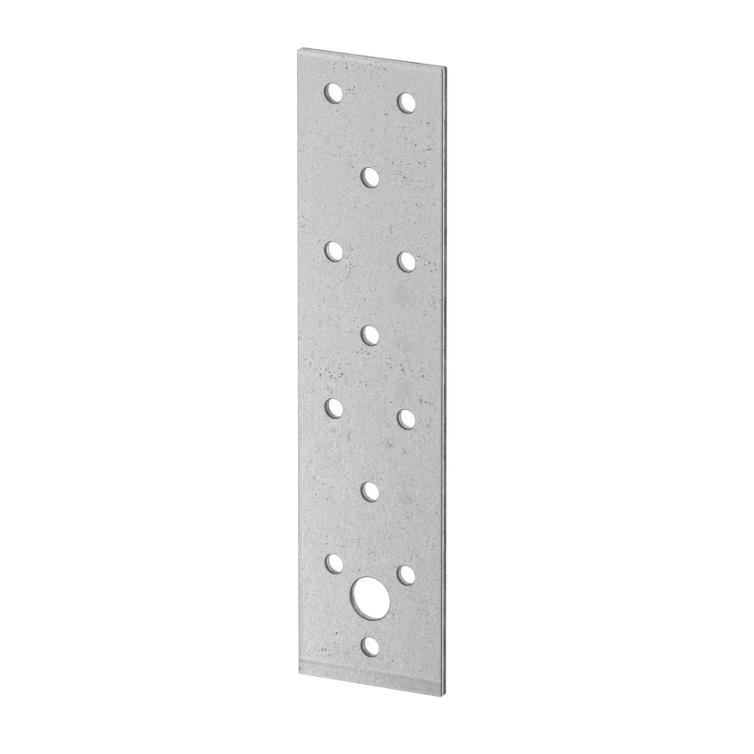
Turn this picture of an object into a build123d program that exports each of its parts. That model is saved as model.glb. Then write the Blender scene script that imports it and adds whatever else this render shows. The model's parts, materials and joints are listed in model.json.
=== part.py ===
from build123d import *
import os
from math import atan, degrees

# Flat mending plate of zinc coated steel: a plain strip with nail holes in staggered rows and
# one bolt hole near an end. Everything is punched and sheared from the front (+Z) face, so each
# cut edge has a rolled-over top corner, a smooth land and a torn face that leans back from it.
# Frame: X across the plate, Y along it towards the end with the pair of holes, Z up.
# The origin is the middle of the back face. Lengths in millimetres.

# Overall sizes
plate_length = 160.0
plate_width = 40.0
plate_thickness = 2.5
corner_radius = 0.5

# Nail holes: rows at an even pitch, by turns one hole on the centre line and a pair beside it
nail_hole_diameter = 5.0
row_pitch = 20.0
column_spacing = 20.0
least_end_margin = 10.0

# Bolt hole, as far from the three nail holes around it as they allow
bolt_hole_diameter = 11.0

# Sheared outer edge, counted down from the front face
edge_roll_radius = 0.25
edge_land_height = 0.8
edge_tear_setback = 0.1

# Punched hole edges, counted down from the front face
hole_roll_width = 0.3
hole_roll_depth = 0.2
hole_land_height = 0.8
hole_tear_widening = 0.12

# How far a cutter runs past the face it leaves
cutter_overrun = 1.0


def row_positions():
    """Y of every row, from the bolt hole's end to the far end, centred on the plate."""
    free_length = plate_length - 2 * least_end_margin
    count = int(free_length / row_pitch + 1e-6) + 1
    first = -row_pitch * (count - 1) / 2
    return [first + row_pitch * index for index in range(count)]


def nail_hole_positions():
    """Centres of the nail holes: odd rows hold one on the centre line, even rows a pair."""
    centres = []
    for index, y in enumerate(row_positions()):
        if index % 2 == 0:
            centres.append((0, y))
        else:
            centres.append((-column_spacing / 2, y))
            centres.append((column_spacing / 2, y))
    return centres


def bolt_hole_position():
    """The point at an equal distance from the first row's hole and the second row's pair."""
    first_row = row_positions()[0]
    reach = (row_pitch**2 + (column_spacing / 2) ** 2) / (2 * row_pitch)
    return (0, first_row + reach)


def sheared_strip():
    """The blank: a land with a rolled-over front edge, standing on a torn, slanted skirt."""
    land_bottom = plate_thickness - edge_roll_radius - edge_land_height
    outline = Pos(0, 0, land_bottom) * RectangleRounded(plate_width, plate_length, corner_radius)
    land = extrude(outline, amount=plate_thickness - land_bottom)
    front_edges = land.faces().sort_by(Axis.Z)[-1].edges()
    lean = degrees(atan(edge_tear_setback / land_bottom))
    skirt = extrude(outline, amount=-land_bottom, taper=lean)
    return skirt + fillet(front_edges, edge_roll_radius)


def punched_hole(diameter):
    """Cutter for one hole: the turned outline of its rolled lip, its land and its torn flare."""
    radius = diameter / 2
    mouth_radius = radius + hole_roll_width
    land_top = plate_thickness - hole_roll_depth
    land_bottom = land_top - hole_land_height
    slant = hole_tear_widening / land_bottom
    with BuildSketch(Plane.XZ) as section:
        with BuildLine():
            Polyline(
                (mouth_radius, plate_thickness),
                (mouth_radius, plate_thickness + cutter_overrun),
                (0, plate_thickness + cutter_overrun),
                (0, -cutter_overrun),
                (radius + slant * (land_bottom + cutter_overrun), -cutter_overrun),
                (radius, land_bottom),
                (radius, land_top),
            )
            TangentArc(
                (mouth_radius, plate_thickness), (radius, land_top), tangent=(-1, 0)
            )
        make_face()
    return revolve(section.sketch, Axis.Z)


def mending_plate():
    """The finished plate, all holes punched."""
    nail_punch = punched_hole(nail_hole_diameter)
    bolt_punch = punched_hole(bolt_hole_diameter)
    cutters = [Pos(x, y, 0) * nail_punch for x, y in nail_hole_positions()]
    x, y = bolt_hole_position()
    cutters.append(Pos(x, y, 0) * bolt_punch)
    return sheared_strip() - cutters


os.makedirs("parts", exist_ok=True)
plate = mending_plate().solid()
plate.label = "plate"
export_step(plate, "parts/plate.step")
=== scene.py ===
import json
import math
from typing import NamedTuple

import bpy
from bpy.props import FloatProperty, FloatVectorProperty, IntProperty, PointerProperty
from mathutils import Matrix, Vector, noise
from mathutils.geometry import delaunay_2d_cdt


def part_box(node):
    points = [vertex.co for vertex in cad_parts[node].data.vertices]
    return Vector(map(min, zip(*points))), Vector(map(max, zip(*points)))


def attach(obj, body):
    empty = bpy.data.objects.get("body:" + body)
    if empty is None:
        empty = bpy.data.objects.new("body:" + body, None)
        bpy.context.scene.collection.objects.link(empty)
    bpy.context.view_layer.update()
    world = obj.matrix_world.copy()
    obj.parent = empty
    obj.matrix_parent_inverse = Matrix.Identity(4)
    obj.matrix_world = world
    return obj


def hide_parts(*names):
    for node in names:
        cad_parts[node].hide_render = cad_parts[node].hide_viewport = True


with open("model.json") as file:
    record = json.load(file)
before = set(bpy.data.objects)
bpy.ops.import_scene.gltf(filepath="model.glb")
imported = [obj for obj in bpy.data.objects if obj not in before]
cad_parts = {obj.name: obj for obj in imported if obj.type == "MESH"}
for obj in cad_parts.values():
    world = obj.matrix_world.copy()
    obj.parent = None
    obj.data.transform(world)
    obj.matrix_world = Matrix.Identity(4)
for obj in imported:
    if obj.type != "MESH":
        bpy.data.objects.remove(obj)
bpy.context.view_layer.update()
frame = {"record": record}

bl_info = {
    "name": "Mending Plate",
    "version": (1, 0, 0),
    "blender": (4, 5, 0),
    "location": "3D View > Sidebar > Mending Plate",
    "description": "Builds a sheared and punched zinc coated mending plate on a pale studio floor",
    "category": "Add Mesh",
}

MM = 0.001
NODE = "plate"
LOW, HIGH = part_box(NODE)
FRONT = HIGH.z
HOLES = [
    (Vector(mount["pos_m"][:2]), mount["dims"]["r_mm"] * MM)
    for mount in frame["record"]["mounts"]
    if mount["kind"] == "bore"
]

# Mesh: steps round a corner, fewest points round a hole, and the flat strip outside a roll;
# then how clear of the edges inner points keep, which triangles are made and how near in mm
# two points may be, from which angle an edge is sharp, and which holes count as large
CORNER_STEPS = 5
LEAST_HOLE_POINTS = 48
FLAT_RING_WIDTH = 0.05 * MM
FACE_MARGIN = 0.8 * MM
ALL_TRIANGLES, SAME_POINT = 0, 1e-6
SHARP_ANGLE = math.radians(40)
LARGE_HOLE_RADIUS = 4 * MM

# Noise mostly stays between these two numbers
NOISE_LOW, NOISE_HIGH = 0.3, 0.7

# How much of each surface is metal, and how high its fine relief is
COAT_METAL, LAND_METAL, TEAR_METAL = 0.9, 0.95, 0.7
COAT_RELIEF, LAND_RELIEF, TEAR_RELIEF = 0.006 * MM, 0.01 * MM, 0.03 * MM

# Painted highlights on the coat: how far in mm from the clamp line or from an end, and how light
SHOULDER_GAP, SHOULDER_LIGHT = 0.9, 0.05
GLEAM_PLACE, GLEAM_LIGHT = 0.5, 0.07
SHINE_PLACE = 0.85

# Pits and pepper in the coat: cells to a millimetre, radii in cells, and strengths
PIT_CELLS, PEPPER_CELLS = 1.15, 2.1
PIT_RADII = (0.12, 0.3)
PIT_RIM_LIGHT = 0.09
PEPPER_STRENGTH = 0.55
NICK_STRENGTH = 0.7
BLOOM_STRENGTH = 0.42
THIN_ZINC_STRENGTH = 0.8

# Share of cells with a pit: on the back, on the plain front, and added in a patch
BACK_PITS, FRONT_PITS, PATCH_PITS = 0.06, 0.013, 0.7

# Stage: the strip lamp's place and size in metres, the height (of 1) at which the sky is
# brightest, and how many view distances the camera sees
LAMP_PLACE, LAMP_SIZE = (-0.3, -0.12, 0.2), (0.3, 0.1)
SKY_BLEND_TOP = 0.6
CLIP_DISTANCES = 4

# Where the zinc is pitted: centre x and y, half width and half height in mm, and share of pits
PIT_PATCHES = (
    (-4, 78, 9, 1.4, 0.25),
    (-4.7, 71.3, 1.7, 0.8, 0.7),
    (6.5, 69.6, 1.3, 2.2, 0.6),
    (4.2, 67, 1.6, 0.9, 0.7),
    (13, 64, 6, 5, 0.15),
    (14, 57, 5, 4, 0.28),
    (9, 52.5, 3, 2, 0.7),
    (12.5, 50, 6, 1.5, 0.6),
    (-7, 54, 3.6, 2.8, 0.45),
    (-15, 52, 1.5, 2.5, 0.35),
    (-19, 36, 1, 2.5, 0.7),
    (-5.6, 28, 1.4, 4.4, 0.85),
    (14.2, 32.5, 2, 1.3, 0.7),
    (17.4, 29.5, 2.2, 1, 0.8),
    (18, 21, 1.6, 2.2, 0.8),
    (15.5, 18, 1.4, 0.7, 0.7),
    (-14.5, 19.5, 4, 3, 0.3),
    (-5.2, 21.3, 1.3, 1.3, 0.4),
    (-1, 5.7, 3.2, 1.7, 0.6),
    (-5, -0.5, 11, 2.6, 0.4),
    (-16, 1, 3, 2, 0.35),
    (11, 3.3, 7, 1.7, 0.5),
    (-10.6, -5.8, 1, 0.9, 0.95),
    (15.2, -4.6, 2, 1.1, 0.94),
    (16.6, -10.7, 1.1, 1.8, 0.81),
    (-9.5, -15.4, 0.9, 0.9, 0.95),
    (5.4, -17, 1.6, 1.2, 0.95),
    (10, -18.2, 1.2, 0.8, 0.94),
    (-12.8, -25.2, 1.6, 1.2, 0.81),
    (-14.8, -29, 1.5, 1, 0.81),
    (-11.4, -33, 1.6, 0.8, 0.81),
    (10, -35, 3, 1.2, 0.68),
    (5.8, -38.5, 1.2, 2.2, 0.68),
    (-12.3, -43.8, 1.6, 1.2, 0.94),
    (-2, -44.7, 7, 1.6, 0.5),
    (12.5, -44.5, 2.4, 1.2, 0.68),
    (13, -56, 2.6, 2.6, 0.47),
    (7.6, -62, 1, 2.4, 0.68),
    (-13.5, -71.5, 3.2, 2.4, 0.25),
    (-5, -72.3, 5, 2, 0.32),
)

# Where handling left a grey bloom: centre x and y, half width and half height in mm, and depth
SMUDGES = (
    (9, 21, 2.6, 3.4, 0.9),
    (9.5, 9, 2.8, 2, 0.9),
    (9.6, -2, 2.4, 3.4, 0.9),
    (10, -26, 3.2, 3.6, 0.6),
    (11, -30.2, 2.8, 1.3, 1.0),
    (5.4, -17, 1.5, 1.2, 1.0),
    (4.5, 33, 1.2, 3, 0.4),
    (-4, -73, 7, 2.4, 0.6),
    (12, -78, 8, 2, 0.6),
)

# Single nicks and scuffs on the front: centre x and y, half width and half height in mm
NICKS = (
    (-5.8, -16.6, 0.15, 0.75),
    (-5.5, -15.4, 0.16, 0.3),
    (5.1, -16.6, 0.4, 0.2),
    (5.8, -17.2, 0.3, 0.25),
    (9.8, -18.4, 0.18, 0.4),
    (-9.8, -15.6, 0.2, 0.4),
    (-11.9, -33.4, 0.25, 0.3),
    (-12, -45, 0.55, 0.16),
    (16, -10.7, 0.25, 0.3),
    (0.5, 62.2, 0.27, 0.26),
    (-5.6, 71.5, 0.5, 0.2),
    (-4.6, 52.2, 0.26, 0.27),
    (4.6, 66.6, 0.55, 0.2),
    (16.1, 65.9, 0.4, 0.2),
    (10, 61.2, 0.22, 0.25),
    (-2.3, 6.3, 0.2, 0.36),
    (-3.3, 5.4, 0.3, 0.3),
    (-13.7, -2.1, 0.35, 0.22),
    (-8.7, 4.4, 0.22, 0.26),
    (-10.7, -2, 0.25, 0.34),
    (-8.3, -1.5, 0.5, 0.2),
    (14.2, -4.6, 0.4, 0.26),
    (9.3, 2.3, 0.2, 0.34),
    (14.5, 2.9, 0.3, 0.22),
    (5.8, 2.7, 0.45, 0.18),
    (-5.4, 63.4, 0.13, 0.5),
    (-9.8, 54.4, 0.25, 0.2),
    (6, 37.1, 0.14, 0.4),
    (13.8, 32, 0.35, 0.22),
    (16.9, 28.8, 0.3, 0.2),
    (-6.2, 28.8, 0.2, 0.27),
    (-5.4, 26.5, 0.2, 0.3),
    (-6.3, 24, 0.22, 0.27),
    (17.6, 20.8, 0.2, 0.28),
    (18.3, 19.4, 0.25, 0.2),
    (-1.4, 18.9, 0.12, 0.6),
    (15, 17.3, 0.35, 0.18),
    (-10.6, -5.9, 0.2, 0.32),
    (-5.7, -12.8, 0.13, 0.4),
    (3.2, -26.2, 0.3, 0.18),
    (-12.7, -29.8, 0.2, 0.24),
    (11.3, -30.3, 0.4, 0.18),
    (13.2, -31.2, 0.28, 0.2),
    (18.5, -32.5, 0.22, 0.28),
    (5, -39.5, 0.2, 0.26),
    (5.6, -41.2, 0.22, 0.24),
    (-7.3, -45.2, 0.4, 0.15),
    (-3.2, -43.3, 0.35, 0.15),
)


def length(name, description, millimetres):
    """A length that the user can change, given in millimetres."""
    return FloatProperty(
        name=name,
        description=description,
        default=millimetres * MM,
        min=0,
        precision=5,
        unit="LENGTH",
    )


def share(name, description, value, most=1.0):
    """A plain number that the user can change."""
    return FloatProperty(name=name, description=description, default=value, min=0, max=most)


def colour(name, description, value):
    """A linear colour that the user can change."""
    return FloatVectorProperty(
        name=name, description=description, default=value, min=0, max=1, size=3, subtype="COLOR"
    )


class PlateShape(bpy.types.PropertyGroup):
    """Sizes of the sheared edge and the punched holes."""

    corner_radius: length("Corner radius", "Rounding of the plate's four corners", 0.5)
    edge_roll_width: length("Edge roll width", "How far the outer edge's roll reaches in", 0.25)
    edge_roll_depth: length("Edge roll depth", "How far the outer edge's roll drops", 0.25)
    edge_tear_setback: length("Edge tear setback", "How far the torn edge leans back", 0.1)
    hole_roll_width: length("Hole roll width", "How far a hole's lip reaches out", 0.3)
    hole_roll_depth: length("Hole roll depth", "How far a hole's lip drops", 0.2)
    hole_tear_setback: length("Hole tear setback", "How far a hole flares behind its land", 0.12)
    edge_land_height: length("Edge land height", "Height of the outer edge's smooth cut", 0.55)
    hole_land_height: length("Hole land height", "Height of a hole's smooth cut", 0.8)
    land_waver: length("Land waver", "How unevenly the smooth cut ends", 0.18)
    tear_roughness: length("Tear roughness", "Depth of the torn steel's grain", 0.04)
    edge_step: length("Edge step", "Distance between points along the outer edge", 0.25)
    hole_step: length("Hole step", "Distance between points round a hole", 0.16)
    face_step: length("Face step", "Distance between points on the front face", 1.0)
    roll_rings: IntProperty(name="Roll rings", description="Steps across a roll", default=10, min=2)
    tear_rings: IntProperty(name="Tear rings", description="Steps down the tear", default=7, min=2)


class PlateFinish(bpy.types.PropertyGroup):
    """Colours and wear of the zinc coat and the cut steel."""

    zinc: colour("Zinc", "Coat on the faces and rolls", (0.571, 0.585, 0.579))
    thin_zinc: colour("Thin zinc", "Coat along the plain long side", (0.591, 0.577, 0.586))
    pit: colour("Pit", "Dark specks in the coat", (0.16, 0.165, 0.165))
    bloom: colour("Bloom", "Dull grey handling marks", (0.36, 0.37, 0.365))
    land: colour("Land", "Smooth cut with smeared zinc", (0.6, 0.608, 0.604))
    tear: colour("Tear", "Torn bare steel", (0.392, 0.402, 0.398))
    zinc_roughness: share("Zinc roughness", "Roughness of the coat", 0.46)
    land_roughness: share("Land roughness", "Roughness of the smooth cut", 0.3)
    tear_roughness: share("Tear roughness", "Roughness of the torn steel", 0.7)
    press_line: length("Press line", "Distance of the clamp line from the bolt hole's end", 3.6)
    press_line_width: length("Press line width", "Width of the clamp line", 0.9)
    press_line_depth: share("Press line depth", "How dark the clamp line is", 0.11)
    strip_dulling: share("Strip dulling", "How dark the coat is beyond the clamp line", 0.1)
    side_dulling: share("Side dulling", "How dark the coat is along the plain long side", 0.17)
    slit_dulling: share("Slit dulling", "How dark the coat is along the other long side", 0.22)
    # The end band is a painted highlight along the high end
    end_painted_highlight: share("End shine", "How light the coat is along the plain end", 0.14)


class PlateStudio(bpy.types.PropertyGroup):
    """Camera, floor and light."""

    aim_x: FloatProperty(
        name="Aim X", description="Point looked at, across the plate",
        default=2.042 * MM, unit="LENGTH",
    )
    aim_y: FloatProperty(
        name="Aim Y", description="Point looked at, along the plate",
        default=-0.191 * MM, unit="LENGTH",
    )
    view_azimuth: FloatProperty(
        name="View azimuth", description="Turn of the camera from +X towards +Y",
        default=math.radians(32.615), subtype="ANGLE",
    )
    view_elevation: FloatProperty(
        name="View elevation", description="Height of the camera above the floor as an angle",
        default=math.radians(58.03), subtype="ANGLE",
    )
    view_distance: length("View distance", "Distance of the camera", 2444.6)
    focal_length: FloatProperty(
        name="Focal length", description="Lens of the camera in millimetres", default=477.45, min=1
    )
    floor_radius: length("Floor radius", "Reach of the pale floor", 9000)
    floor_glow: share("Floor glow", "How white the floor is drawn", 0.85, 2)
    floor_white: share("Floor white", "How much light the floor gives back", 0.25)
    sky_high: share("Sky above", "Brightness of the studio overhead", 0.87, 4)
    sky_low: share("Sky low", "Brightness of the studio near the floor", 0.3, 4)
    strip_power: share("Strip power", "Watts of the strip lamp beside the plate", 0.21, 1000)


class Graph:
    """Short ways to add nodes to one tree. Most methods give back an output socket."""

    def __init__(self, tree):
        self.tree = tree
        tree.nodes.clear()

    def node(self, kind, inputs, **settings):
        """A new node. An input is a number, a colour or another node's output socket."""
        made = self.tree.nodes.new(kind)
        for key, value in settings.items():
            setattr(made, key, value)
        for key, value in inputs.items():
            if isinstance(value, bpy.types.NodeSocket):
                self.tree.links.new(value, made.inputs[key])
            else:
                made.inputs[key].default_value = value
        return made

    def maths(self, operation, *values):
        return self.node("ShaderNodeMath", dict(enumerate(values)), operation=operation).outputs[0]

    def stretch(self, vector, scale):
        inputs = {0: vector, 1: scale}
        return self.node("ShaderNodeVectorMath", inputs, operation="MULTIPLY").outputs[0]

    def noise(self, vector, scale, detail=2.0, roughness=0.5):
        inputs = {"Vector": vector, "Scale": scale, "Detail": detail, "Roughness": roughness}
        return self.node("ShaderNodeTexNoise", inputs).outputs[0]

    def stir(self, vector, scale, depth):
        """The vector pushed about by a smooth random amount."""
        push = self.node("ShaderNodeTexNoise", {"Vector": vector, "Scale": scale}).outputs["Color"]
        inputs = {0: push, 1: (depth,) * 3, 2: vector}
        return self.node("ShaderNodeVectorMath", inputs, operation="MULTIPLY_ADD").outputs[0]

    def cells(self, vector, scale):
        """Distance to the nearest cell's point, and a colour of random numbers for the cell."""
        inputs = {"Vector": vector, "Scale": scale}
        made = self.node("ShaderNodeTexVoronoi", inputs, voronoi_dimensions="2D")
        return made.outputs["Distance"], made.outputs["Color"]

    def split(self, colour):
        return self.node("ShaderNodeSeparateColor", {0: colour}).outputs

    def remap(self, value, low, high, new_low=0.0, new_high=1.0, smooth=False):
        kind = "SMOOTHSTEP" if smooth else "LINEAR"
        inputs = {0: value, 1: low, 2: high, 3: new_low, 4: new_high}
        return self.node("ShaderNodeMapRange", inputs, interpolation_type=kind).outputs[0]

    def spread(self, pattern, low, high):
        """A noise pattern stretched over a range."""
        return self.remap(pattern, NOISE_LOW, NOISE_HIGH, low, high)

    def fade(self, value, start, end, most=1.0):
        """A mask that falls softly from most at the start to nothing at the end."""
        return self.remap(value, start, end, most, 0, True)

    def away(self, value, place):
        """How far a value is from a place."""
        return self.maths("ABSOLUTE", self.maths("SUBTRACT", value, place))

    def lighten(self, level, mask, depth):
        """The level made lighter where the mask is, or darker for a depth below zero."""
        return self.maths("MULTIPLY", level, self.maths("MULTIPLY_ADD", mask, depth, 1.0))

    def mix(self, factor, first, second):
        """The second colour laid over the first by a factor."""
        inputs = {"Factor": factor, "A": first, "B": second}
        made = self.tree.nodes.new("ShaderNodeMix")
        made.data_type = "RGBA"
        for socket in made.inputs:
            if not socket.enabled or socket.name not in inputs:
                continue
            value = inputs[socket.name]
            if isinstance(value, bpy.types.NodeSocket):
                self.tree.links.new(value, socket)
            else:
                socket.default_value = value
        return next(socket for socket in made.outputs if socket.enabled)

    def tint(self, colour, factor):
        """The colour made lighter or darker by a number."""
        inputs = {0: colour, "Scale": factor}
        return self.node("ShaderNodeVectorMath", inputs, operation="SCALE").outputs[0]

    def bump(self, height, distance):
        inputs = {"Height": height, "Distance": distance, "Strength": 1.0}
        return self.node("ShaderNodeBump", inputs).outputs[0]

    def millimetres(self):
        """Object coordinates in millimetres, and their separate numbers."""
        place = self.node("ShaderNodeTexCoord", {}).outputs["Object"]
        scaled = self.stretch(place, (1 / MM,) * 3)
        return scaled, self.node("ShaderNodeSeparateXYZ", {0: scaled}).outputs

    def worn_and_painted_shade(self):
        """Pits, bloom, grain and tone stored on the mesh; the tone holds painted light and shade.
        """
        stored = self.node("ShaderNodeAttribute", {}, attribute_name="wear_and_painted_shade").outputs
        return (*self.split(stored["Color"])[:3], stored["Alpha"])


def opaque(rgb):
    """A colour with full opacity, as a socket takes it."""
    return (*rgb, 1.0)


def metal(name, graph_of, metallic):
    """A metal material. graph_of gives its colour, roughness and normal from nodes."""
    material = bpy.data.materials.new(name)
    material.use_nodes = True
    graph = Graph(material.node_tree)
    base, rough, normal = graph_of(graph)
    inputs = {"Base Color": base, "Roughness": rough, "Normal": normal, "Metallic": metallic}
    shader = graph.node("ShaderNodeBsdfPrincipled", inputs)
    graph.node("ShaderNodeOutputMaterial", {"Surface": shader.outputs[0]})
    return material


def coat_bands(graph, mm, axis, finish):
    """The clamp line's mask, and a mask for each band along the ends and the long sides.

    Each band comes with how much lighter it makes the coat. The shoulder, gleam and end bands are
    painted highlights. The low end is the bolt hole's.
    """
    left, right = LOW.x / MM, HIGH.x / MM
    from_low_end = graph.maths("SUBTRACT", axis["Y"], LOW.y / MM)
    from_high_end = graph.maths("SUBTRACT", HIGH.y / MM, axis["Y"])
    from_plain_side = graph.maths("SUBTRACT", axis["X"], left)
    from_slit_side = graph.maths("SUBTRACT", right, axis["X"])

    place, half_width = finish.press_line / MM, finish.press_line_width / MM / 2
    line = graph.fade(graph.away(from_low_end, place), half_width * 0.6, half_width * 1.3)
    line_depth = finish.press_line_depth
    line_light = graph.remap(axis["X"], left, -4, -1.9 * line_depth, -line_depth)
    # Painted highlight beside the clamp line
    shoulder_highlight = graph.remap(graph.away(from_low_end, place + SHOULDER_GAP), 0.1, 0.5, 1, 0)

    smears = graph.noise(graph.stretch(mm, (0.12, 1.1, 1)), 1.0, 3, 0.6)
    strip = graph.fade(from_low_end, place - 0.3, place)
    strip = graph.maths("MULTIPLY", strip, graph.spread(smears, 0.45, 1.55))
    dulling, highlight_strength = finish.strip_dulling, finish.end_painted_highlight
    strip_light = graph.remap(axis["X"], left, right, -0.4 * dulling, -1.05 * dulling)
    # Painted highlights along the low end and the high end
    gleam = graph.fade(graph.away(from_low_end, GLEAM_PLACE), 0.15, 0.4)
    end_highlight = graph.fade(graph.away(from_high_end, SHINE_PLACE), 0.2, 0.75)
    end_highlight_light = graph.remap(axis["X"], left, right, 1.2 * highlight_strength, 0.4 * highlight_strength)

    side_reach = graph.remap(axis["Y"], -50, -75, 1.3, 2.4)
    side = graph.fade(from_plain_side, 0.3, side_reach)
    side_light = graph.remap(axis["Y"], 5, -75, 0, -finish.side_dulling)
    slit = graph.fade(from_slit_side, 0.2, 0.8)
    return line, (
        (line, line_light),
        (shoulder_highlight, SHOULDER_LIGHT),
        (gleam, GLEAM_LIGHT),
        (strip, strip_light),
        (end_highlight, end_highlight_light),
        (side, side_light),
        (slit, -finish.slit_dulling),
    )


def nicks(graph, mm, ragged):
    """A mask of the single nicks on the front, with uneven outlines."""
    mask = 0.0
    for x, y, half_width, half_height in NICKS:
        scale = (1 / half_width, 1 / half_height, 1)
        inputs = {0: mm, 1: scale, 2: (-x * scale[0], -y * scale[1], -FRONT / MM)}
        placed = graph.node("ShaderNodeVectorMath", inputs, operation="MULTIPLY_ADD").outputs[0]
        reach = graph.node("ShaderNodeVectorMath", {0: placed}, operation="LENGTH").outputs["Value"]
        reach = graph.maths("ADD", reach, ragged)
        mask = graph.maths("MAXIMUM", mask, graph.fade(reach, 0.7, 1.1, NICK_STRENGTH))
    return mask


def dark_marks(graph, mm, pits, mottle, fine):
    """A mask of the pits, the pepper and the nicks, and one of the light rims round the pits."""
    stirred = graph.stir(mm, 0.45, 2.5)
    distance, chance = graph.cells(stirred, PIT_CELLS)
    draw, size = graph.split(chance)[:2]
    reach = graph.maths("DIVIDE", distance, graph.remap(size, 0, 1, *PIT_RADII))
    pitted = graph.maths("LESS_THAN", draw, pits)
    spot = graph.maths("MULTIPLY", graph.fade(reach, 0.6, 1.0), pitted)
    rim = graph.maths("MULTIPLY", graph.fade(reach, 1.1, 1.9), pitted)

    distance, chance = graph.cells(stirred, PEPPER_CELLS)
    likely = graph.maths("MULTIPLY_ADD", pits, 0.25, graph.remap(mottle, 0.4, 0.65, 0.02, 0.27))
    peppered = graph.maths("LESS_THAN", graph.split(chance)[0], likely)
    pepper = graph.maths("MULTIPLY", graph.fade(distance, 0.18, 0.34, PEPPER_STRENGTH), peppered)

    ragged = graph.spread(fine, -0.3, 0.3)
    spots = graph.maths("MAXIMUM", spot, pepper)
    return graph.maths("MAXIMUM", spots, nicks(graph, mm, ragged)), rim


def zinc_coat(finish):
    """Rolled zinc: streaks along the plate, fine grain, mottling, bloom, pits and a clamp line,
    with painted highlights beside the clamp line and along the ends.
    """

    def build(graph):
        mm, axis = graph.millimetres()
        pits, bloom, grain, tone = graph.worn_and_painted_shade()
        rolled = graph.noise(graph.stretch(mm, (2.6, 0.09, 1)), 1.0, 3, 0.6)
        drawn = graph.noise(graph.stretch(mm, (4.5, 0.7, 1)), 1.0, 2, 0.6)
        mottle = graph.noise(mm, 0.22, 3, 0.6)
        fine = graph.noise(mm, 2.6, 3, 0.7)
        specks = graph.noise(mm, 6.5, 1, 0.5)
        patches = graph.remap(graph.noise(mm, 0.45, 2, 0.5), 0.35, 0.65, 0.6, 1.4)
        gritty = graph.maths("MULTIPLY", grain, patches)
        scored = graph.remap(axis["Y"], 40, -20, 0.3, 1)
        level = 1.0
        for pattern, depth, where in (
            (rolled, 0.03, 1.0),
            (mottle, 0.03, 1.0),
            (drawn, 0.08, scored),
            (fine, 0.052, gritty),
            (specks, 0.32, gritty),
        ):
            swing = graph.spread(pattern, -depth, depth)
            level = graph.maths("MULTIPLY_ADD", swing, where, level)
        # The stored tone brings painted light and shade onto the coat
        level = graph.maths("MULTIPLY", level, tone)
        line, bands = coat_bands(graph, mm, axis, finish)
        for mask, light in bands:
            level = graph.lighten(level, mask, light)
        dark, rim = dark_marks(graph, mm, pits, mottle, fine)
        level = graph.lighten(level, rim, PIT_RIM_LIGHT)

        left = LOW.x / MM
        thin = graph.fade(axis["X"], left + 1.4, left + 2.4, THIN_ZINC_STRENGTH)
        base = graph.tint(graph.mix(thin, opaque(finish.zinc), opaque(finish.thin_zinc)), level)
        haze = graph.maths("MULTIPLY", bloom, graph.remap(graph.noise(mm, 0.9, 4, 0.7), 0.35, 0.65))
        haze = graph.maths("MULTIPLY", haze, BLOOM_STRENGTH)
        base = graph.mix(haze, base, opaque(finish.bloom))
        base = graph.mix(dark, base, opaque(finish.pit))

        rough = graph.spread(fine, finish.zinc_roughness - 0.05, finish.zinc_roughness + 0.05)
        rough = graph.maths("MULTIPLY_ADD", dark, 0.2, rough)
        height = graph.maths("MULTIPLY_ADD", fine, 0.6, graph.maths("MULTIPLY", rolled, 0.4))
        height = graph.maths("MULTIPLY_ADD", rim, 0.4, height)
        height = graph.maths("SUBTRACT", height, dark)
        height = graph.maths("MULTIPLY_ADD", line, -1.5, height)
        return base, rough, graph.bump(height, COAT_RELIEF)

    return metal("zinc_coat", build, COAT_METAL)


def smooth_land(finish):
    """The smooth part of a cut, with zinc dragged down it in fine upright scores."""

    def build(graph):
        mm = graph.millimetres()[0]
        tone = graph.worn_and_painted_shade()[3]
        scores = graph.noise(graph.stretch(mm, (4.0, 4.0, 0.3)), 1.0, 3, 0.6)
        # The stored tone brings painted light and shade onto the land
        level = graph.maths("MULTIPLY", graph.spread(scores, 0.8, 1.2), tone)
        base = graph.tint(tuple(finish.land), level)
        rough = graph.spread(scores, finish.land_roughness - 0.08, finish.land_roughness + 0.12)
        return base, rough, graph.bump(scores, LAND_RELIEF)

    return metal("smooth_land", build, LAND_METAL)


def torn_steel(finish):
    """The broken part of a cut: dull grainy steel."""

    def build(graph):
        mm = graph.millimetres()[0]
        tone = graph.worn_and_painted_shade()[3]
        grain = graph.noise(mm, 3.5, 4, 0.7)
        patches = graph.remap(graph.noise(mm, 0.8, 2, 0.5), 0.35, 0.65, 0.85, 1.15)
        level = graph.maths("MULTIPLY", graph.spread(grain, 0.65, 1.35), patches)
        # The stored tone brings painted light and shade onto the torn steel
        base = graph.tint(tuple(finish.tear), graph.maths("MULTIPLY", level, tone))
        rough = graph.spread(grain, finish.tear_roughness - 0.1, finish.tear_roughness + 0.15)
        return base, rough, graph.bump(grain, TEAR_RELIEF)

    return metal("torn_steel", build, TEAR_METAL)


def rounded_outline(shape):
    """Points and outward directions along the plate's outline, anticlockwise."""
    radius, step = shape.corner_radius, shape.edge_step
    path = []
    corners = ((HIGH.x, HIGH.y, 0), (LOW.x, HIGH.y, 1), (LOW.x, LOW.y, 2), (HIGH.x, LOW.y, 3))
    for x, y, quarter in corners:
        centre = Vector((x - math.copysign(radius, x), y - math.copysign(radius, y)))
        for index in range(CORNER_STEPS + 1):
            angle = (quarter + index / CORNER_STEPS) * math.pi / 2
            out = Vector((math.cos(angle), math.sin(angle)))
            path.append((centre + out * radius, out))
        run = HIGH.x - LOW.x if quarter % 2 == 0 else HIGH.y - LOW.y
        run -= 2 * radius
        count = max(2, round(run / step))
        along = Vector((-out.y, out.x))
        start = path[-1][0]
        path += [(start + along * run * index / count, out) for index in range(1, count)]
    return path


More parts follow.
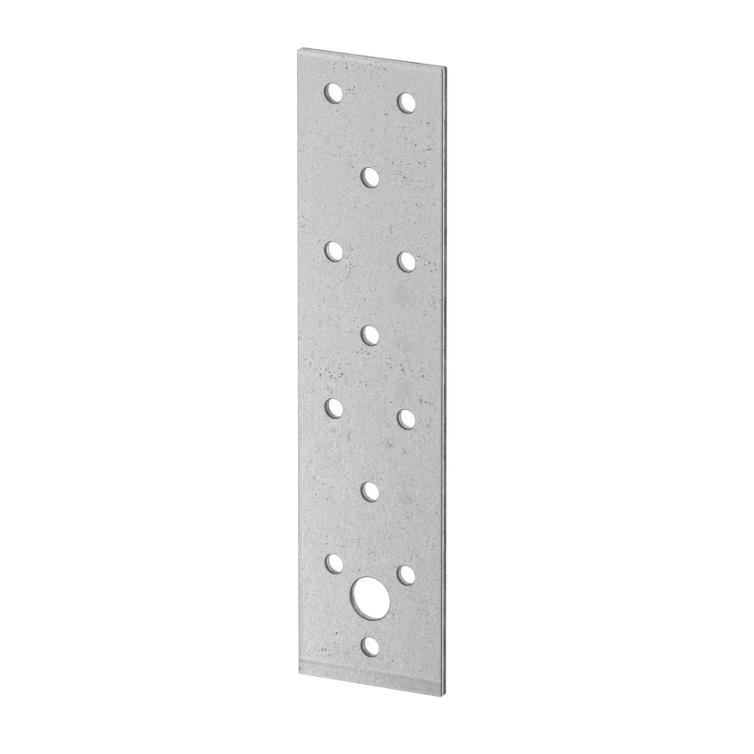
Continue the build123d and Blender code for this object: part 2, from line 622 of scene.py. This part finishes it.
def round_outline(centre, radius, step):
    """Points and directions towards the middle of a hole, clockwise as seen from the front."""
    count = max(LEAST_HOLE_POINTS, round(2 * math.pi * radius / step))
    path = []
    for index in range(count):
        angle = -2 * math.pi * index / count
        out = Vector((math.cos(angle), math.sin(angle)))
        path.append((centre + out * radius, -out))
    return path


def smooth_step(low, high, value):
    """A share from 0 to 1 that rises softly as the value goes from low to high."""
    share_up = max(0.0, min(1.0, (value - low) / (high - low)))
    return share_up * share_up * (3 - 2 * share_up)


def blend(first, last, share_of_last):
    """The number that lies the given share of the way from the first to the last."""
    return first + (last - first) * share_of_last


def uneven(point, scale, seed):
    """A smooth random number from -1 to 1 for a place on the plate."""
    return noise.noise(Vector((point.x, point.y, seed * MM)) * (scale / MM))


class Cut(NamedTuple):
    """How light the parts of a cut are painted, from the front down, as painted light and shade.

    The tone changes from rim to roll at dark_from, a share of the way across the roll.
    """

    rim: float
    roll: float
    land: float
    tear: float
    foot: float
    dark_from: float


# Painted light on the ends; painted shade on the long sides' rolls and tears, with a painted
# highlight on their lands
END_CUT_PAINTED_LIGHT = Cut(rim=1, roll=1.05, land=1.08, tear=1.08, foot=1.08, dark_from=0.2)
SLIT_SIDE_PAINTED_LIGHT_AND_SHADE = Cut(rim=0.95, roll=0.18, land=1.38, tear=0.52, foot=0.52, dark_from=0.1)
PLAIN_SIDE_PAINTED_LIGHT_AND_SHADE = Cut(rim=0.86, roll=0.32, land=1.25, tear=0.5, foot=0.5, dark_from=0)


def outer_cut(point, out):
    """The look of the outer edge at a point where it faces out, as painted light and shade."""
    if abs(out.y) > abs(out.x):
        return END_CUT_PAINTED_LIGHT
    if out.x > 0:
        return SLIT_SIDE_PAINTED_LIGHT_AND_SHADE
    return PLAIN_SIDE_PAINTED_LIGHT_AND_SHADE._replace(roll=PLAIN_SIDE_PAINTED_LIGHT_AND_SHADE.roll + 0.25 * uneven(point, 0.4, 11))


def hole_cut(out, radius):
    """The look of a hole's edge where it faces out, as painted light and shade. Faces turned right
    or up lie in painted shade, and the tear and its foot are lightened with painted light.
    """
    right, left = max(0, out.x), max(0, -out.x)
    up, down = max(0, out.y), max(0, -out.y)
    shaded = smooth_step(-0.3, 0.25, 0.75 * out.x + 0.3 * out.y)
    roll = max(0, 0.04 + 0.08 * out.x + 0.03 * out.y)
    tear = 1.75
    dark_from = 0.1 + 0.36 * shaded - 0.72 * right * down
    if radius > LARGE_HOLE_RADIUS:
        roll += 0.4 * right * up
        tear -= 0.55 * right**2
        dark_from -= 0.12 * up**4
    else:
        dark_from += 0.1 * down**2 + 0.15 * left**2 + 0.4 * right * up - 0.06 * up**2
    rim, land = blend(0.93, 1, shaded), blend(0.4, roll, shaded)
    return Cut(rim=rim, roll=roll, land=land, tear=tear, foot=1.2, dark_from=dark_from)


def cut_rings(path, radius, roll_width, roll_depth, setback, land_height, shape):
    """The rings of points down one cut edge, each with the surface below it and its tones of
    painted light and shade.

    The radius is the hole's, or 0 for the outer edge.
    """
    looks = [hole_cut(out, radius) if radius else outer_cut(point, out) for point, out in path]
    land_top = FRONT - roll_depth
    rings = []

    def ring(kind, place, tone):
        points = [place(point, out) for point, out in path]
        tones = [tone(look, point) for look, (point, out) in zip(looks, path)]
        rings.append((kind, points, tones))

    def land_end(point):
        waver = uneven(point, 0.5, 3) + 0.5 * uneven(point, 2.1, 5)
        return land_top - land_height + shape.land_waver * waver

    def roll_ring(kind, across):
        turn = math.pi / 2 * across
        inset = roll_width * (1 - math.sin(turn))
        height = FRONT - roll_depth * (1 - math.cos(turn))

        # Painted light and shade across the roll: its tone turns from the rim's to the roll's past
        # dark_from
        def tone(look, point):
            return blend(look.rim, look.roll, smooth_step(0, 0.15, across - look.dark_from))

        ring(kind, lambda point, out: (*(point - out * inset), height), tone)

    def land_ring(kind, down):
        def place(point, out):
            return (*point, blend(land_top, land_end(point), down))

        ring(kind, place, lambda look, point: look.land)

    def torn_ring(kind, index):
        down = index / shape.tear_rings
        foot_share = smooth_step(0.5, 0.85, down)

        def place(point, out):
            height = land_end(point) * (1 - down)
            coarse = uneven(point, 1.6, 7 + height / MM * 1.9)
            fine = uneven(point, 3.7, 9 + height / MM * 3)
            rough = shape.tear_roughness * (coarse + 0.6 * fine)
            inset = setback * blend(0.25, 1, down) + rough
            return (*(point - out * max(inset, 0)), height)

        # Painted light down the tear, turning to the foot's tone, with random stripes
        def tone(look, point):
            stripe = 1 + 0.7 * uneven(point, 0.22, 13 + 1.1 * index)
            return blend(look.tear, look.foot, foot_share) * stripe

        ring(kind, place, tone)

    flat_inset = roll_width + FLAT_RING_WIDTH
    ring("coat", lambda point, out: (*(point - out * flat_inset), FRONT), lambda look, point: 1.0)
    for index in range(shape.roll_rings):
        roll_ring("coat", index / shape.roll_rings)
    roll_ring("land", 1)
    # The land's own tone starts just below the roll
    land_ring("land", 0.08)
    land_ring("land", 0.5)
    land_ring("tear", 1)
    for index in range(1, shape.tear_rings):
        torn_ring("tear", index)
    torn_ring("back", shape.tear_rings)
    return rings


def patch_weight(x, y, patch):
    """How much a place lies in an oval patch, from 0 to 1."""
    centre_x, centre_y, half_width, half_height, weight = patch
    reach = ((x - centre_x) / half_width) ** 2 + ((y - centre_y) / half_height) ** 2
    return weight * max(0.0, min(1.0, 1.6 * (1.3 - reach)))


def wear_and_painted_shade_at(point, tone):
    """Pits, bloom, grain and tone at a place on the plate, the tone with a painted light gradient.
    """
    x, y = point[0] / MM, point[1] / MM
    across, along = point[0] / HIGH.x, point[1] / HIGH.y
    grain = 0.8 - 0.12 * along + 0.35 * noise.noise(Vector((x, y, 4.0)) * 0.09)
    # Painted light: the tone is lighter towards the left and darker towards the right, most at the
    # low end
    slope = 0.018 * along - 0.082 * across + 0.051 * across * along
    tone *= 1 + slope + 0.04 * max(0, across) ** 2
    if point[2] < FRONT / 2:
        return (BACK_PITS, 0.0, grain, tone)
    pits = max(patch_weight(x, y, patch) for patch in PIT_PATCHES)
    bloom = max(patch_weight(x, y, patch) for patch in SMUDGES)
    return (FRONT_PITS + PATCH_PITS * pits, bloom, grain, tone)


def fill_between(loops, inner_points):
    """Triangles of a flat face with holes, as lists of indices into all the points given.

    The face lies to the left of each loop. A triangle beyond a loop has all its corners on that
    loop, and taken in the loop's order they turn to the right.
    """
    flat, edges, loop_of = [], [], []
    for number, loop in enumerate(loops):
        start = len(flat)
        flat += [Vector((x, y)) / MM for x, y, z in loop]
        count = len(loop)
        edges += [(start + index, start + (index + 1) % count) for index in range(count)]
        loop_of += [number] * count
    flat += [Vector((x, y)) / MM for x, y in inner_points]
    loop_of += range(-len(inner_points), 0)
    found = delaunay_2d_cdt(flat, edges, [], ALL_TRIANGLES, SAME_POINT)
    places, _, faces, origins, _, _ = found
    if len(places) != len(flat):
        raise RuntimeError("two points of a face lie on each other")
    triangles = []
    for face in faces:
        corners = [origins[index][0] for index in face]
        one, two, three = sorted(corners)
        turn = (flat[two] - flat[one]).cross(flat[three] - flat[one])
        if turn > 0 or len({loop_of[corner] for corner in corners}) > 1:
            triangles.append(corners)
    return triangles


def in_hole(x, y, margin):
    """Whether a place lies in a hole, or within the margin round it."""
    return any((Vector((x, y)) - centre).length < radius + margin for centre, radius in HOLES)


def face_points(shape):
    """Points spread over the front face, clear of its edges and holes."""
    step = shape.face_step
    columns = round((HIGH.x - LOW.x) / step)
    rows = round((HIGH.y - LOW.y) / step)
    points = []
    for row in range(1, rows):
        for column in range(1, columns):
            x, y = LOW.x + column * step, LOW.y + row * step
            if not in_hole(x, y, FACE_MARGIN):
                points.append((x, y))
    return points


def cut_edges(shape):
    """The rings of the outer edge and of every hole."""
    edge = (
        shape.edge_roll_width,
        shape.edge_roll_depth,
        shape.edge_tear_setback,
        shape.edge_land_height,
    )
    lip = (
        shape.hole_roll_width,
        shape.hole_roll_depth,
        shape.hole_tear_setback,
        shape.hole_land_height,
    )
    cuts = [cut_rings(rounded_outline(shape), 0, *edge, shape)]
    for centre, radius in HOLES:
        cuts.append(cut_rings(round_outline(centre, radius, shape.hole_step), radius, *lip, shape))
    return cuts


def plate_mesh(shape):
    """The whole plate as one closed mesh, with its surfaces in material order."""
    vertices, tones, faces, kinds = [], [], [], []
    order = {"coat": 0, "land": 1, "tear": 2}
    front_loops, back_loops = [], []
    for rings in cut_edges(shape):
        starts = []
        for _, points, lightness in rings:
            starts.append(len(vertices))
            vertices += points
            tones += lightness
        count = len(points)
        for (kind, _, _), upper, lower in zip(rings, starts, starts[1:]):
            for one in range(count):
                two = (one + 1) % count
                faces.append((upper + one, lower + one, lower + two, upper + two))
                kinds.append(order[kind])
        front_loops.append((starts[0], rings[0][1]))
        back_loops.append((starts[-1], rings[-1][1]))
    front = (front_loops, face_points(shape), FRONT, 1)
    back = (back_loops, [], LOW.z, -1)
    for loops, inner, height, direction in (front, back):
        index_of = [start + index for start, points in loops for index in range(len(points))]
        index_of += range(len(vertices), len(vertices) + len(inner))
        vertices += [(x, y, height) for x, y in inner]
        tones += [1.0] * len(inner)
        for triangle in fill_between([points for _, points in loops], inner):
            faces.append([index_of[index] for index in triangle][::direction])
            kinds.append(order["coat"])
    mesh = bpy.data.meshes.new("sheared_plate")
    mesh.from_pydata(vertices, [], faces)
    mesh.polygons.foreach_set("material_index", kinds)
    mesh.polygons.foreach_set("use_smooth", [True] * len(faces))
    # The tone in the fourth channel holds painted light and shade
    wear_and_painted_shade = mesh.attributes.new("wear_and_painted_shade", "FLOAT_COLOR", "POINT")
    worn_and_painted_shade = [wear_and_painted_shade_at(point, tone) for point, tone in zip(vertices, tones)]
    wear_and_painted_shade.data.foreach_set("color", [number for four in worn_and_painted_shade for number in four])
    mesh.set_sharp_from_angle(angle=SHARP_ANGLE)
    mesh.validate()
    return mesh


class MENDINGPLATE_OT_plate(bpy.types.Operator):
    """Build the sheared and punched plate with its zinc, cut and torn surfaces"""

    bl_idname = "mendingplate.plate"
    bl_label = "Build Plate"

    def execute(self, context):
        shape = context.scene.plate_shape
        finish = context.scene.plate_finish
        plate = bpy.data.objects.new("zinc_plate", plate_mesh(shape))
        context.scene.collection.objects.link(plate)
        for material in (zinc_coat(finish), smooth_land(finish), torn_steel(finish)):
            plate.data.materials.append(material)
        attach(plate, "root")
        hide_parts(NODE)
        return {"FINISHED"}


def add_floor(scene, studio):
    """A wide pale floor that is drawn white and still takes the plate's soft shadow."""
    reach = studio.floor_radius
    corners = [(-reach, -reach, 0), (reach, -reach, 0), (reach, reach, 0), (-reach, reach, 0)]
    mesh = bpy.data.meshes.new("floor")
    mesh.from_pydata(corners, [], [(0, 1, 2, 3)])
    material = bpy.data.materials.new("pale_floor")
    material.use_nodes = True
    graph = Graph(material.node_tree)
    path = graph.node("ShaderNodeLightPath", {}).outputs
    seen = graph.maths("MAXIMUM", path["Is Camera Ray"], path["Is Glossy Ray"])
    seen = graph.maths("MAXIMUM", seen, path["Is Transmission Ray"])
    white = (studio.floor_white,) * 3 + (1,)
    matt = graph.node("ShaderNodeBsdfDiffuse", {"Color": white}).outputs[0]
    power = graph.maths("MULTIPLY", seen, studio.floor_glow)
    glow = graph.node("ShaderNodeEmission", {"Strength": power}).outputs[0]
    both = graph.node("ShaderNodeAddShader", {0: matt, 1: glow}).outputs[0]
    graph.node("ShaderNodeOutputMaterial", {"Surface": both})
    mesh.materials.append(material)
    floor = bpy.data.objects.new("floor", mesh)
    scene.collection.objects.link(floor)


def add_sky(scene, studio):
    """White behind everything, and a studio that is bright overhead and dim near the floor."""
    world = bpy.data.worlds.new("studio")
    world.use_nodes = True
    scene.world = world
    graph = Graph(world.node_tree)
    direction = graph.node("ShaderNodeTexCoord", {}).outputs["Generated"]
    height = graph.node("ShaderNodeSeparateXYZ", {0: direction}).outputs["Z"]
    level = graph.remap(height, 0.0, SKY_BLEND_TOP, studio.sky_low, studio.sky_high, True)
    level = graph.maths("MAXIMUM", level, graph.maths("LESS_THAN", height, 0.0))
    back = graph.node("ShaderNodeBackground", {"Color": (1, 1, 1, 1), "Strength": level})
    graph.node("ShaderNodeOutputWorld", {"Surface": back.outputs[0]})


def add_lamp(scene, name, place, size, power):
    """A soft lamp that shines on the plate's middle."""
    data = bpy.data.lights.new(name, "AREA")
    data.shape = "RECTANGLE"
    data.size, data.size_y = size
    data.energy = power
    lamp = bpy.data.objects.new(name, data)
    lamp.location = place
    lamp.rotation_euler = (-Vector(place)).to_track_quat("-Z", "Y").to_euler()
    scene.collection.objects.link(lamp)


def add_camera(scene, studio):
    """A long lens far off, upright along the plate, at the photograph's angle."""
    aim = Vector((studio.aim_x, studio.aim_y, FRONT))
    azimuth, elevation = studio.view_azimuth, studio.view_elevation
    flat = math.cos(elevation)
    back = Vector((flat * math.cos(azimuth), flat * math.sin(azimuth), math.sin(elevation)))
    data = bpy.data.cameras.new("camera")
    data.lens = studio.focal_length
    data.clip_end = CLIP_DISTANCES * studio.view_distance
    camera = bpy.data.objects.new("camera", data)
    side = Vector((0, 1, 0)).cross(back).normalized()
    turned = Matrix((side, back.cross(side), back)).transposed().to_4x4()
    camera.matrix_world = Matrix.Translation(aim + back * studio.view_distance) @ turned
    scene.collection.objects.link(camera)
    scene.camera = camera


class MENDINGPLATE_OT_stage(bpy.types.Operator):
    """Build the floor, the sky, the lamp and the camera"""

    bl_idname = "mendingplate.stage"
    bl_label = "Build Stage"

    def execute(self, context):
        scene, studio = context.scene, context.scene.plate_studio
        add_floor(scene, studio)
        add_sky(scene, studio)
        add_lamp(scene, "strip_lamp", LAMP_PLACE, LAMP_SIZE, studio.strip_power)
        add_camera(scene, studio)
        scene.view_settings.view_transform = "Standard"
        return {"FINISHED"}


class MENDINGPLATE_PT_panel(bpy.types.Panel):
    """Lists what the add-on can build"""

    bl_label = "Mending Plate"
    bl_idname = "MENDINGPLATE_PT_panel"
    bl_space_type = "VIEW_3D"
    bl_region_type = "UI"
    bl_category = "Mending Plate"

    def draw(self, context):
        for group in ("plate_shape", "plate_finish", "plate_studio"):
            box = self.layout.box()
            settings = getattr(context.scene, group)
            for name in settings.__annotations__:
                box.prop(settings, name)
        self.layout.operator(MENDINGPLATE_OT_plate.bl_idname)
        self.layout.operator(MENDINGPLATE_OT_stage.bl_idname)


CLASSES = (
    PlateShape,
    PlateFinish,
    PlateStudio,
    MENDINGPLATE_OT_plate,
    MENDINGPLATE_OT_stage,
    MENDINGPLATE_PT_panel,
)


def register():
    for item in CLASSES:
        bpy.utils.register_class(item)
    bpy.types.Scene.plate_shape = PointerProperty(type=PlateShape)
    bpy.types.Scene.plate_finish = PointerProperty(type=PlateFinish)
    bpy.types.Scene.plate_studio = PointerProperty(type=PlateStudio)


def unregister():
    del bpy.types.Scene.plate_studio
    del bpy.types.Scene.plate_finish
    del bpy.types.Scene.plate_shape
    for item in reversed(CLASSES):
        bpy.utils.unregister_class(item)


def main():
    register()
    bpy.ops.mendingplate.plate()
    bpy.ops.mendingplate.stage()


if __name__ == "__main__":
    main()
